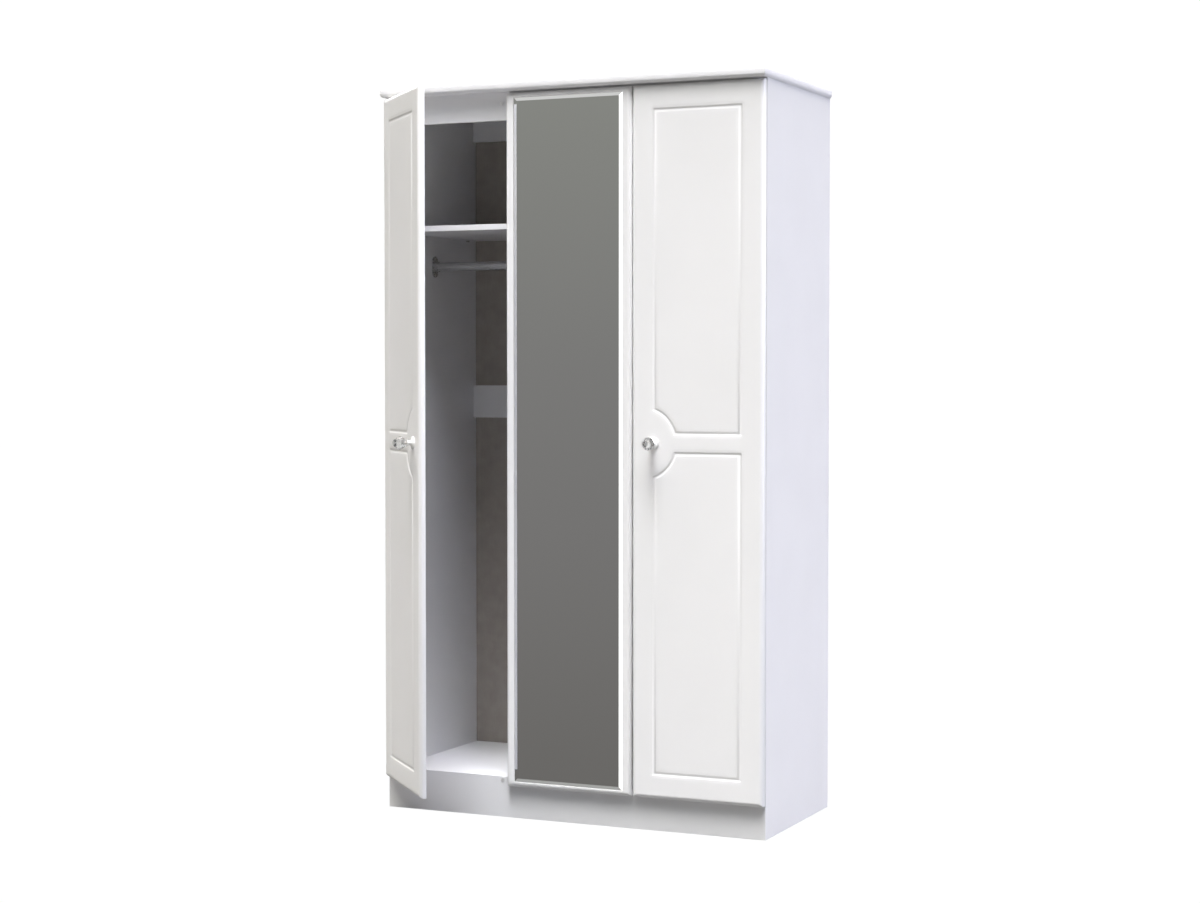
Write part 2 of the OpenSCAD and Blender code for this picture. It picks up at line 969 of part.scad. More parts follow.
// Silvered glass with bevelled edges, level with the door's front
module mirror_glass(w) {
    glass_w = w - 2 * mirror_margin;
    glass_h = door_h - 2 * mirror_end_margin;
    color("lightgray")
        translate([hinge_inset + mirror_margin, door_front, door_bottom + mirror_end_margin])
            difference() {
                cube([glass_w, glass_t, glass_h]);
                bevel_cut(glass_h);
                translate([glass_w, 0, 0])
                    mirror([1, 0, 0])
                        bevel_cut(glass_h);
                rotate([0, 90, 0])
                    mirror([1, 0, 0])
                        bevel_cut(glass_w);
                translate([0, 0, glass_h])
                    rotate([0, 90, 0])
                        bevel_cut(glass_w);
            }
}

// Adhesive pads between the glass and the door
module mirror_pads(w) {
    rows = 6;
    inset = 40;
    pad_h = 60;
    pad_w = w - 2 * mirror_margin - 2 * inset;
    first = door_bottom + mirror_end_margin + inset;
    pitch = (door_h - 2 * mirror_end_margin - 2 * inset - pad_h) / (rows - 1);
    color("gray")
        for (i = [0 : rows - 1])
            translate([
                hinge_inset + mirror_margin + inset,
                door_front + glass_t,
                first + i * pitch,
            ])
                cube([pad_w, pad_t, pad_h]);
}

// ---------- Nodes ----------

double_left_gable();
double_right_gable();
color("white") base_board(left_x, seam_x);  // double_base_board
color("white") front_plinth(left_x, seam_x);  // double_front_plinth
color("white") rear_plinth(left_x, seam_x);  // double_rear_plinth
color("white") front_top_rail(left_x, seam_x);  // double_front_top_rail
color("white") rear_top_rail(left_x, seam_x);  // double_rear_top_rail
color("white") rear_mid_rail(left_x, seam_x);  // double_rear_mid_rail
color("tan") back_panel(left_x, seam_x);  // double_back_panel
color("white") hat_shelf(left_x, seam_x);  // double_hat_shelf
color("silver") hanging_rail(left_x, seam_x);  // double_hanging_rail
color("silver") rail_sockets(left_x, seam_x);  // double_rail_sockets
single_left_gable();
single_right_gable();
color("white") base_board(seam_x, right_x);  // single_base_board
color("white") front_plinth(seam_x, right_x);  // single_front_plinth
color("white") rear_plinth(seam_x, right_x);  // single_rear_plinth
color("white") front_top_rail(seam_x, right_x);  // single_front_top_rail
color("white") rear_top_rail(seam_x, right_x);  // single_rear_top_rail
color("white") rear_mid_rail(seam_x, right_x);  // single_rear_mid_rail
color("tan") back_panel(seam_x, right_x);  // single_back_panel
color("white") hat_shelf(seam_x, right_x);  // single_hat_shelf
color("silver") hanging_rail(seam_x, right_x);  // single_hanging_rail
color("silver") rail_sockets(seam_x, right_x);  // single_rail_sockets
top_board();
carcass_dowels();
carcass_joining_bolts();
shelf_pins();
rail_socket_screws();
back_panel_nails();
door_buffers();
hinge_plates();
hinge_arms();
hinge_arm_pins();
hinge_plate_screws();
hinge_adjusting_screws();
left_place() swing_link(left_open) links();  // left_hinge_links
left_place() swing_door(left_open) cups();  // left_hinge_cups
left_place() swing_door(left_open) cup_pins();  // left_hinge_cup_pins
left_place() swing_door(left_open) cup_screws();  // left_hinge_cup_screws
left_place() swing_door(left_open) panelled_door(double_door_w);  // left_door_panel
left_place() swing_door(left_open) knob_rose(double_door_w);  // left_knob_rose
left_place() swing_door(left_open) knob_crystal(double_door_w);  // left_knob_crystal
left_place() swing_door(left_open) knob_bolt(double_door_w);  // left_knob_bolt
centre_place() swing_link(centre_open) links();  // centre_hinge_links
centre_place() swing_door(centre_open) cups();  // centre_hinge_cups
centre_place() swing_door(centre_open) cup_pins();  // centre_hinge_cup_pins
centre_place() swing_door(centre_open) cup_screws();  // centre_hinge_cup_screws
centre_place() swing_door(centre_open) mirror_door(double_door_w);  // centre_door_panel
centre_place() swing_door(centre_open) mirror_glass(double_door_w);  // centre_mirror
centre_place() swing_door(centre_open) mirror_pads(double_door_w);  // centre_mirror_pads
right_place() swing_link(right_open) links();  // right_hinge_links
right_place() swing_door(right_open) cups();  // right_hinge_cups
right_place() swing_door(right_open) cup_pins();  // right_hinge_cup_pins
right_place() swing_door(right_open) cup_screws();  // right_hinge_cup_screws
right_place() swing_door(right_open) panelled_door(single_door_w);  // right_door_panel
right_place() swing_door(right_open) knob_rose(single_door_w);  // right_knob_rose
right_place() swing_door(right_open) knob_crystal(single_door_w);  // right_knob_crystal
right_place() swing_door(right_open) knob_bolt(single_door_w);  // right_knob_bolt
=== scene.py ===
import json
import math

import bmesh
import bpy
from mathutils import Matrix, Vector
from mathutils.geometry import tessellate_polygon

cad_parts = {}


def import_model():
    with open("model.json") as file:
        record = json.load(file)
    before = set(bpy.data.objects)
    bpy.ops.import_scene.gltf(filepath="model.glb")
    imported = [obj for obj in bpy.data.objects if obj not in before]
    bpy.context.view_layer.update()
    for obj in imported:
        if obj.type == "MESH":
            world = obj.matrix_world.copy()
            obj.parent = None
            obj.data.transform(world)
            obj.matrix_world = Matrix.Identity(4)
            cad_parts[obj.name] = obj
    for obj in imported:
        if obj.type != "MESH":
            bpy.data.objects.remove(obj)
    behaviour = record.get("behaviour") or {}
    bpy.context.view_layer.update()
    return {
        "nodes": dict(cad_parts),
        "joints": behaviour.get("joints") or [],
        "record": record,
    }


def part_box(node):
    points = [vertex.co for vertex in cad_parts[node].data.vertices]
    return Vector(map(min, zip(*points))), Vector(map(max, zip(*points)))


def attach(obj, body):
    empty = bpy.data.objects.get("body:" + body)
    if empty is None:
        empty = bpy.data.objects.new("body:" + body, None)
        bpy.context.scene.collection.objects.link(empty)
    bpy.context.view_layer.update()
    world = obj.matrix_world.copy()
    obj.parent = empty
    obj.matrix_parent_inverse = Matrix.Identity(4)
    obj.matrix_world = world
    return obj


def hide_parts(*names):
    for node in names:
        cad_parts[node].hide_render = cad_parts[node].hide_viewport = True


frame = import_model()
MM = 0.001

# ---------- Where things are ----------

JOINTS = {joint["name"]: joint for joint in frame["joints"]}
LINK_RATIO = frame["record"]["behaviour"]["couplings"][0]["ratio"]

closed_lo, closed_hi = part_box("centre_door_panel")
DOOR_W = closed_hi.x - closed_lo.x
DOOR_T = closed_hi.y - closed_lo.y
DOOR_Z0 = closed_lo.z
DOOR_Z1 = closed_hi.z
DOOR_MID = (DOOR_Z0 + DOOR_Z1) / 2

# The hinge pin of a closed door, from its hinged edge and from its front
closed_pin = Vector(JOINTS["centre_door_swing"]["pos_m"])
PIN_X = closed_hi.x - closed_pin.x
PIN_Y = closed_pin.y - closed_lo.y

# Cup bores, from the hinged edge, and the heights of the hinges
cup_lo, cup_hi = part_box("centre_hinge_cups")
CUP_X = closed_hi.x - (cup_lo.x + cup_hi.x) / 2
CUP_R = 17.55 * MM
CUP_DEPTH = 12.05 * MM
HINGE_Z = (0.190, 0.735, 1.280, 1.830)

KNOB_INSET = 60 * MM
KNOB_X = DOOR_W - KNOB_INSET


def rest_opening(side):
    """How far a door stands open at rest, in radians: its joint's lower limit is the closed door."""
    lower = math.radians(JOINTS[side + "_door_swing"]["range_deg"][0])
    return -lower * (1 + LINK_RATIO)


def door_matrix(side):
    """From a door's own frame (x from the hinged edge, y from the front, z up) to its place at rest."""
    pin = JOINTS[side + "_door_swing"]["pos_m"]
    hand = 1 if side == "left" else -1
    return (
        Matrix.Translation((pin[0], pin[1], 0))
        @ Matrix.Rotation(-hand * rest_opening(side), 4, "Z")
        @ Matrix.Diagonal((hand, 1, 1, 1))
        @ Matrix.Translation((-PIN_X, -PIN_Y, 0))
    )


# ---------- Materials ----------


class Surface:
    """A node material under construction, with the few kinds of node that the finishes share."""

    def __init__(self, name):
        self.material = bpy.data.materials.new(name)
        self.material.use_nodes = True
        self.nodes = self.material.node_tree.nodes
        self.links = self.material.node_tree.links
        self.shader = self.nodes["Principled BSDF"]
        self.place = self.nodes.new("ShaderNodeTexCoord").outputs["Object"]

    def set(self, **values):
        for socket, value in values.items():
            self.shader.inputs[socket.replace("_", " ")].default_value = value

    def stretched(self, scale):
        mapping = self.nodes.new("ShaderNodeMapping")
        mapping.inputs["Scale"].default_value = scale
        self.links.new(self.place, mapping.inputs["Vector"])
        return mapping.outputs["Vector"]

    def noise(self, scale, detail, stretch=(1, 1, 1)):
        node = self.nodes.new("ShaderNodeTexNoise")
        node.inputs["Scale"].default_value = scale
        node.inputs["Detail"].default_value = detail
        self.links.new(self.stretched(stretch), node.inputs["Vector"])
        return node.outputs["Fac"]

    def cells(self, scale):
        node = self.nodes.new("ShaderNodeTexVoronoi")
        node.inputs["Scale"].default_value = scale
        self.links.new(self.stretched((1, 1, 1)), node.inputs["Vector"])
        return node.outputs["Distance"]

    def ramp(self, factor, stops):
        node = self.nodes.new("ShaderNodeValToRGB")
        elements = node.color_ramp.elements
        while len(elements) < len(stops):
            elements.new(0.5)
        for element, (position, colour) in zip(elements, stops):
            element.position = position
            element.color = (*colour, 1)
        self.links.new(factor, node.inputs["Fac"])
        return node.outputs["Color"]

    def range(self, factor, low, high):
        node = self.nodes.new("ShaderNodeMapRange")
        for socket, value in (
            ("From Min", 0.3),
            ("From Max", 0.7),
            ("To Min", low),
            ("To Max", high),
        ):
            node.inputs[socket].default_value = value
        self.links.new(factor, node.inputs["Value"])
        return node.outputs["Result"]

    def multiply(self, factor, first, second):
        node = self.nodes.new("ShaderNodeMix")
        node.data_type = "RGBA"
        node.blend_type = "MULTIPLY"
        sockets = {s.name: s for s in node.inputs if s.enabled}
        sockets["Factor"].default_value = factor
        self.links.new(first, sockets["A"])
        self.links.new(second, sockets["B"])
        return next(s for s in node.outputs if s.enabled)

    def feed(self, socket, value):
        self.links.new(value, self.shader.inputs[socket])

    def bump(self, height, strength, distance, under=None):
        node = self.nodes.new("ShaderNodeBump")
        node.inputs["Strength"].default_value = strength
        node.inputs["Distance"].default_value = distance
        self.links.new(height, node.inputs["Height"])
        if under is not None:
            self.links.new(under, node.inputs["Normal"])
        self.links.new(node.outputs["Normal"], self.shader.inputs["Normal"])
        return node.outputs["Normal"]


def tones(base, spread):
    """Two stops round a base colour, for a faint variation of tone."""
    low = tuple(max(0.0, c - spread) for c in base)
    high = tuple(min(1.0, c + spread) for c in base)
    return [(0.35, low), (0.65, high)]


def door_foil():
    """Satin foil pressed over a routed door: a faint orange peel and slow changes of gloss."""
    s = Surface("door_foil")
    s.set(Specular_IOR_Level=0.42, Coat_Weight=0.12, Coat_Roughness=0.18)
    s.feed("Base Color", s.ramp(s.noise(5, 2), tones((0.853, 0.852, 0.853), 0.006)))
    s.feed("Roughness", s.range(s.noise(9, 3), 0.30, 0.38))
    peel = s.bump(s.noise(620, 2), 0.05, 0.0002)
    s.bump(s.noise(45, 2), 0.03, 0.0008, under=peel)
    return s.material


def board_melamine(name, colour, roughness):
    """Melamine on particle board: a fine pressed texture with a few faint scuffs."""
    s = Surface(name)
    s.set(Specular_IOR_Level=0.4)
    s.feed("Base Color", s.ramp(s.noise(7, 3), tones(colour, 0.008)))
    s.feed("Roughness", s.range(s.noise(14, 4), roughness - 0.05, roughness + 0.06))
    grain = s.bump(s.cells(900), 0.10, 0.0002)
    s.bump(s.noise(300, 3), 0.06, 0.0003, under=grain)
    return s.material


def white_enamel():
    """Glossy enamel on turned metal: a slight orange peel under the gloss."""
    s = Surface("white_enamel")
    s.set(Coat_Weight=0.5, Coat_Roughness=0.06)
    s.feed("Base Color", s.ramp(s.noise(60, 2), tones((0.885, 0.885, 0.875), 0.006)))
    s.feed("Roughness", s.range(s.noise(120, 3), 0.16, 0.24))
    s.bump(s.noise(700, 2), 0.05, 0.0002)
    return s.material


def back_hardboard():
    """Painted hardboard: taupe, matt, with a faint mottle and the fibres' fine relief."""
    s = Surface("back_hardboard")
    s.set(Specular_IOR_Level=0.25)
    mottle = s.ramp(s.noise(30, 5), tones((0.395, 0.362, 0.328), 0.02))
    fibres = s.ramp(s.noise(240, 3, stretch=(1, 1, 0.15)), tones((0.92, 0.92, 0.92), 0.05))
    s.feed("Base Color", s.multiply(0.35, mottle, fibres))
    s.feed("Roughness", s.range(s.noise(60, 3), 0.62, 0.78))
    s.bump(s.noise(420, 4, stretch=(1, 1, 0.4)), 0.18, 0.0004)
    return s.material


def silvered_mirror():
    """Front-polished silvered glass with the faintest haze of wiping."""
    s = Surface("silvered_mirror")
    s.set(Metallic=1.0, Specular_IOR_Level=0.5)
    s.feed("Base Color", s.ramp(s.noise(3, 2), tones((0.865, 0.872, 0.868), 0.004)))
    s.feed("Roughness", s.range(s.noise(6, 4, stretch=(1, 1, 0.3)), 0.012, 0.035))
    return s.material


def cut_crystal():
    """Clear polished crystal."""
    s = Surface("cut_crystal")
    s.set(Transmission_Weight=1.0, IOR=1.54)
    s.feed("Base Color", s.ramp(s.noise(40, 1), tones((0.84, 0.85, 0.86), 0.004)))
    s.feed("Roughness", s.range(s.noise(90, 2), 0.0, 0.02))
    return s.material


def metal(name, colour, low, high, streak=(1, 1, 1), grain=240):
    """Plated or brushed steel, with the roughness and the tone drawn out along the streaks."""
    s = Surface(name)
    s.set(Metallic=1.0)
    streaks = s.noise(grain, 4, stretch=streak)
    s.feed("Base Color", s.ramp(streaks, tones(colour, 0.02)))
    s.feed("Roughness", s.range(streaks, low, high))
    s.bump(streaks, 0.04, 0.0001)
    return s.material


def beech():
    """Straight-grained beech."""
    s = Surface("beech")
    grain = s.noise(380, 5, stretch=(0.08, 1, 1))
    s.feed("Base Color", s.ramp(grain, [(0.3, (0.50, 0.34, 0.19)), (0.7, (0.68, 0.50, 0.31))]))
    s.feed("Roughness", s.range(grain, 0.5, 0.7))
    s.bump(grain, 0.2, 0.0003)
    return s.material


def soft_rubber(name, colour, transmission):
    """Soft pads: slightly uneven, half matt."""
    s = Surface(name)
    s.set(Transmission_Weight=transmission, IOR=1.45)
    s.feed("Base Color", s.ramp(s.noise(120, 3), tones(colour, 0.02)))
    s.feed("Roughness", s.range(s.noise(200, 3), 0.35, 0.5))
    s.bump(s.noise(500, 2), 0.1, 0.0002)
    return s.material


MATERIALS = {
    "white_door": door_foil(),
    "white_board": board_melamine("board_melamine", (0.80, 0.80, 0.81), 0.42),
    "hardboard_back": back_hardboard(),
    "mirror_glass": silvered_mirror(),
    "cut_crystal": cut_crystal(),
    "white_enamel": white_enamel(),
    "steel_rail": metal("chromed_tube", (0.56, 0.56, 0.57), 0.22, 0.34, streak=(0.03, 1, 1)),
    "nickel_steel": metal("nickel_plate", (0.58, 0.57, 0.55), 0.24, 0.36),
    "beech_dowel": beech(),
    "clear_buffer": soft_rubber("buffer_rubber", (0.85, 0.85, 0.84), 0.3),
    "foam_tape": soft_rubber("foam_tape", (0.10, 0.10, 0.10), 0.0),
}

# ---------- Mesh building ----------


def piece(name, bm, body, slot, *nodes, matrix=None, smooth=math.radians(32)):
    """Makes a finished mesh piece that rides on a body and stands for CAD nodes."""
    if matrix is not None:
        bmesh.ops.transform(bm, matrix=matrix, verts=bm.verts)
    bmesh.ops.recalc_face_normals(bm, faces=bm.faces)
    mesh = bpy.data.meshes.new(name)
    bm.to_mesh(mesh)
    bm.free()
    if smooth:
        mesh.shade_smooth()
        mesh.set_sharp_from_angle(angle=smooth)
    obj = bpy.data.objects.new(name, mesh)
    bpy.context.scene.collection.objects.link(obj)
    mesh.materials.append(MATERIALS[slot])
    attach(obj, body)
    if nodes:
        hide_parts(*nodes)
    return obj


def add_ring(bm, points, place):
    """A vertex for each point; a repeated point shares the vertex before it."""
    ring = []
    for i, point in enumerate(points):
        repeated = i > 0 and math.dist(point, points[i - 1]) < 1e-7
        ring.append(ring[-1] if repeated else bm.verts.new(place(*point)))
    return ring


def bridge(bm, first, second):
    """Faces between two closed rings of as many points."""
    count = len(first)
    for i in range(count):
        j = (i + 1) % count
        corners = dict.fromkeys((first[i], first[j], second[j], second[i]))
        if len(corners) > 2:
            bm.faces.new(corners)


def fill(bm, loops):
    """Triangles over a flat outline with holes."""
    loops = [list(dict.fromkeys(loop)) for loop in loops]
    flat = [vert for loop in loops for vert in loop]
    for corners in tessellate_polygon([[vert.co for vert in loop] for loop in loops]):
        bm.faces.new([flat[i] for i in corners])


def arc(centre, radius, start, end, steps):
    """Points on an arc, both ends included."""
    return [
        (
            centre[0] + radius * math.cos(start + (end - start) * i / steps),
            centre[1] + radius * math.sin(start + (end - start) * i / steps),
        )
        for i in range(steps + 1)
    ]


def round_rect(x0, x1, y0, y1, radius, steps=3):
    """A rectangle with rounded corners, counterclockwise."""
    points = []
    for cx, cy, turn in (
        (x1 - radius, y0 + radius, -1),
        (x1 - radius, y1 - radius, 0),
        (x0 + radius, y1 - radius, 1),
        (x0 + radius, y0 + radius, 2),
    ):
        start = turn * math.pi / 2
        points += arc((cx, cy), radius, start, start + math.pi / 2, steps)
    return points


def lathe(bm, profile, place, segments):
    """Turns (radius, height) points round an axis; a zero radius closes an end."""
    rings = []
    for radius, height in profile:
        if radius == 0:
            rings.append([bm.verts.new(place(0, 0, height))])
        else:
            ring = arc((0, 0), radius, 0, 2 * math.pi, segments)[:-1]
            rings.append([bm.verts.new(place(x, y, height)) for x, y in ring])
    for first, second in zip(rings, rings[1:]):
        if len(first) == len(second):
            bridge(bm, first, second)
        else:
            point, ring = (first, second) if len(first) == 1 else (second, first)
            for i, vert in enumerate(ring):
                bm.faces.new((vert, ring[(i + 1) % len(ring)], point[0]))


# ---------- Doors ----------

EDGE_ROUND = 11 * MM
CORNER = 1.5 * MM
BACK_ARRIS = 0.4 * MM
SUPPORT = 0.6 * MM

STILE = 51 * MM
STRIP = 54 * MM
HALF_RAIL = 14 * MM
MOULDING_W = 25 * MM
KNOB_FIELD_R = 82 * MM
KNOB_FIELD_X = 31 * MM

# Half of the routed profile, from its edge to its middle: two slopes with a narrow land between them
HALF_PROFILE_MM = (
    (-0.6, 0.0),
    (0.0, 0.0),
    (0.6, 0.03),
    (2.2, 0.12),
    (4.0, 0.23),
    (4.8, 0.26),
    (6.8, 0.26),
    (7.4, 0.36),
    (8.4, 0.66),
    (10.2, 1.22),
    (11.0, 1.42),
    (11.7, 1.49),
    (12.5, 1.5),
)


def moulding_profile():
    """The whole routed profile: the half and its mirror image."""
    near = [(d * MM, depth * MM) for d, depth in HALF_PROFILE_MM]
    far = [(MOULDING_W - d, depth) for d, depth in reversed(near[:-1])]
    return near + far


def field_outline(inside, upper):
    """Outline of a door's upper or lower field, a distance inside the moulding's outer edge.

    Its corners are round outside the moulding's middle and sharp inside it.
    """
    base = max(inside, MOULDING_W / 2)
    turn = base - inside
    x0 = STILE + base
    x1 = DOOR_W - STILE - base
    low = HALF_RAIL + base
    high = (DOOR_Z1 - DOOR_Z0) / 2 - STRIP - base
    radius = KNOB_FIELD_R + base
    centre_x = DOOR_W - KNOB_FIELD_X
    start = math.pi - math.asin(low / radius)
    end = math.pi - math.acos((centre_x - x1) / radius)
    right = math.pi / 2
    points = arc((x0, low), turn, 2 * right, 3 * right, 5)
    points += arc((centre_x + radius * math.cos(start), low), turn, -right, start - 2 * right, 5)
    points += arc((centre_x, 0), radius - turn, start, end, 28)
    points += arc((x1, radius * math.sin(end)), turn, end - 2 * right, 0, 5)
    points += arc((x1, high), turn, 0, right, 5)
    points += arc((x0, high), turn, right, 2 * right, 5)
    sign = 1 if upper else -1
    return [(x, DOOR_MID + sign * z) for x, z in points]


def door_shell(bm):
    """Sides, rounded front edges and the back with its cup bores; returns the rim of the flat front."""

    def rim(inset, y):
        outline = round_rect(inset, DOOR_W - inset, DOOR_Z0 + inset, DOOR_Z1 - inset, CORNER)
        return add_ring(bm, outline, lambda x, z: (x, y, z))

    steps = 10
    rings = [
        rim(SUPPORT + BACK_ARRIS, DOOR_T),
        rim(BACK_ARRIS, DOOR_T),
        rim(0, DOOR_T - BACK_ARRIS),
    ]
    for i in range(steps + 1):
        angle = math.pi / 2 * i / steps
        rings.append(rim(EDGE_ROUND * (1 - math.cos(angle)), EDGE_ROUND * (1 - math.sin(angle))))
    rings.append(rim(EDGE_ROUND + SUPPORT, 0))
    for first, second in zip(rings, rings[1:]):
        bridge(bm, first, second)

    holes = []
    for z in HINGE_Z:
        circle = arc((CUP_X, z), CUP_R, 0, 2 * math.pi, 64)[:-1]
        mouth = add_ring(bm, circle, lambda x, z: (x, DOOR_T, z))
        floor = add_ring(bm, circle, lambda x, z: (x, DOOR_T - CUP_DEPTH, z))
        bridge(bm, mouth, floor)
        bm.faces.new(floor)
        holes.append(mouth)
    fill(bm, [rings[0], *holes])
    return rings[-1]


def panelled_door(side):
    bm = bmesh.new()
    holes = []
    front = door_shell(bm)
    for upper in (True, False):
        rings = [
            add_ring(bm, field_outline(inside, upper), lambda x, z, depth=depth: (x, depth, z))
            for inside, depth in moulding_profile()
        ]
        for first, second in zip(rings, rings[1:]):
            bridge(bm, first, second)
        holes.append(rings[0])
        fill(bm, [rings[-1]])
    fill(bm, [front, *holes])
    return piece(
        side + "_door",
        bm,
        side + "_door",
        "white_door",
        side + "_door_panel",
        matrix=door_matrix(side),
    )


def mirror_door():
    """The centre door, whose front has a shallow recess for the glass."""
    glass_lo, glass_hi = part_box("centre_mirror")
    pad_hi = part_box("centre_mirror_pads")[1]
    play = 0.5 * MM
    arris = 0.25 * MM
    corner = 0.8 * MM
    depth = pad_hi.y - closed_lo.y
    x0 = closed_hi.x - glass_hi.x - play
    x1 = closed_hi.x - glass_lo.x + play
    z0 = glass_lo.z - play
    z1 = glass_hi.z + play
    bm = bmesh.new()
    front = door_shell(bm)
    rings = []
    for widen, y in ((SUPPORT, 0), (arris, 0), (0, arris), (0, depth)):
        outline = round_rect(x0 - widen, x1 + widen, z0 - widen, z1 + widen, corner)
        rings.append(add_ring(bm, outline, lambda x, z: (x, y, z)))
    for first, second in zip(rings, rings[1:]):
        bridge(bm, first, second)
    fill(bm, [rings[-1]])
    fill(bm, [front, rings[0]])
    return piece(
        "centre_door",
        bm,
        "centre_door",
        "white_door",
        "centre_door_panel",
        matrix=door_matrix("centre"),
    )


# ---------- Knobs ----------

# Section of the turned rose: (radius, height above the door's front)
ROSE_PROFILE_MM = (
    (2.2, 0.0),
    (16.6, 0.0),
    (17.0, 0.4),
    (17.0, 1.2),
    (16.6, 1.7),
    (15.2, 2.3),
    (14.6, 2.9),
    (12.5, 3.5),
    (9.0, 4.1),
    (7.0, 5.0),
    (5.9, 6.6),
    (5.5, 8.5),
    (5.5, 12.0),
    (6.2, 13.6),
    (7.8, 15.0),
    (8.8, 15.6),
    (9.0, 16.2),
    (8.8, 16.9),
    (2.2, 16.9),
)

# Rows of facets of the crystal: (radius, height, turn in half steps)
CRYSTAL_ROWS_MM = (
    (8.8, 17.0, 0),
    (13.3, 25.5, 1),
    (17.3, 33.0, 0),
    (17.3, 35.5, 0),
    (14.2, 43.0, 1),
    (10.1, 49.0, 0),
    (7.3, 52.0, 1),
)
CRYSTAL_SIDES = 12


def knob_place(x, y, out):
    """From a knob's own frame (its axis out of the door's front) to the door's frame."""
    return (KNOB_X + x, -out, DOOR_MID + y)


def knob_rose(side):
    bm = bmesh.new()
    profile = [(radius * MM, height * MM) for radius, height in ROSE_PROFILE_MM]
    lathe(bm, [*profile, profile[0]], knob_place, 72)
    bmesh.ops.remove_doubles(bm, verts=bm.verts, dist=1e-6)
    return piece(
        side + "_knob_base",
        bm,
        side + "_door",
        "white_enamel",
        side + "_knob_rose",
        matrix=door_matrix(side),
    )


def knob_crystal(side):
    """A cut head: rows of triangular and kite-like facets under a flat table."""
    bm = bmesh.new()
    step = 2 * math.pi / CRYSTAL_SIDES
    rows = []
    for radius, height, turn in CRYSTAL_ROWS_MM:
        start = step / 2 * turn
        ring = arc((0, 0), radius * MM, start, start + 2 * math.pi, CRYSTAL_SIDES)[:-1]
        rows.append([bm.verts.new(knob_place(x, y, height * MM)) for x, y in ring])
    for i in range(len(rows) - 1):
        low, high = rows[i], rows[i + 1]
        low_turn, high_turn = CRYSTAL_ROWS_MM[i][2], CRYSTAL_ROWS_MM[i + 1][2]
        if low_turn == high_turn:
            bridge(bm, low, high)
            continue
        for k in range(CRYSTAL_SIDES):
            after = (k + 1) % CRYSTAL_SIDES
            if high_turn > low_turn:
                bm.faces.new((low[k], low[after], high[k]))
                bm.faces.new((low[after], high[after], high[k]))
            else:
                bm.faces.new((low[k], high[after], high[k]))
                bm.faces.new((low[k], low[after], high[after]))
    bm.faces.new(rows[0])
    bm.faces.new(rows[-1])
    return piece(
        side + "_crystal",
        bm,
        side + "_door",
        "cut_crystal",
        side + "_knob_crystal",
        matrix=door_matrix(side),
        smooth=None,
    )


# ---------- Carcass pieces made here ----------


def top_board():
    """Board with a soft lower edge at the front and sides, and a fine arris above."""
    lo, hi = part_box("top_board")
    radius = 8 * MM
    arris = 1 * MM
    corner = 2.5 * MM
    bm = bmesh.new()

    def rim(inset, z):
        x0, x1, y0 = lo.x + inset, hi.x - inset, lo.y + inset
        points = arc((x1 - corner, y0 + corner), corner, -math.pi / 2, 0, 5)
        points += [(x1, hi.y), (x0, hi.y)]
        points += arc((x0 + corner, y0 + corner), corner, math.pi, 1.5 * math.pi, 5)
        return add_ring(bm, points, lambda x, y: (x, y, z))

    rings = [rim(radius + SUPPORT, lo.z)]
    for i in range(11):
        angle = math.pi / 2 * i / 10
        rings.append(rim(radius * (1 - math.sin(angle)), lo.z + radius * (1 - math.cos(angle))))
    for i in range(5):
        angle = math.pi / 2 * i / 4
        rings.append(rim(arris * (1 - math.cos(angle)), hi.z - arris * (1 - math.sin(angle))))
    rings.append(rim(arris + SUPPORT, hi.z))
    for first, second in zip(rings, rings[1:]):
        bridge(bm, first, second)
    bm.faces.new(rings[0])
    bm.faces.new(rings[-1])
    return piece("top_panel", bm, "carcass", "white_board", "top_board")


def hanging_rail(carcass):
    """A drawn tube with a rolled rim at each end."""
    lo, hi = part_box(carcass + "_hanging_rail")
    outer = (hi.z - lo.z) / 2
    wall = 1.2 * MM
    roll = 0.3 * MM
    length = hi.x - lo.x
    centre = (lo + hi) / 2
    profile = [
        (outer - wall, 0.0),
        (outer - roll, 0.0),
        (outer, roll),
        (outer, length - roll),
        (outer - roll, length),
        (outer - wall, length),
        (outer - wall, 0.0),
    ]
    bm = bmesh.new()
    lathe(bm, profile, lambda y, z, x: (lo.x + x, centre.y + y, centre.z + z), 64)
    bmesh.ops.remove_doubles(bm, verts=bm.verts, dist=1e-6)
    name = carcass + "_hanging_tube"
    return piece(name, bm, "carcass", "steel_rail", carcass + "_hanging_rail")


# ---------- CAD nodes that stay ----------


def finish_node(name, width):
    """Welds a CAD mesh's split edges, eases its sharp arrises and evens out its shading."""
    obj = frame["nodes"][name]
    weld = obj.modifiers.new("weld", "WELD")
    weld.merge_threshold = 1e-6
    bevel = obj.modifiers.new("arris", "BEVEL")
    bevel.width = width
    bevel.segments = 2
    bevel.limit_method = "ANGLE"
    bevel.angle_limit = math.radians(40)
    bevel.use_clamp_overlap = True
    shade = obj.modifiers.new("shade", "WEIGHTED_NORMAL")
    shade.keep_sharp = True
    shade.weight = 100


def dress_nodes():
    """Every CAD node gets its slot's material, and boards and hinges get an eased arris."""
    widths = {"white_board": 0.5 * MM, "hardboard_back": 0.2 * MM, "nickel_steel": 0.2 * MM}
    for row in frame["record"]["subparts"]:
        obj = frame["nodes"][row["node"]]
        slot = row["material_slot"]
        obj.data.materials.clear()
        obj.data.materials.append(MATERIALS[slot])
        if slot in widths and not obj.hide_render:
            finish_node(row["node"], widths[slot])


for side in ("left", "right"):
    panelled_door(side)
    knob_rose(side)
    knob_crystal(side)
mirror_door()
top_board()
for carcass in ("double", "single"):
    hanging_rail(carcass)
dress_nodes()

# ---------- Stage: floor, light and camera ----------


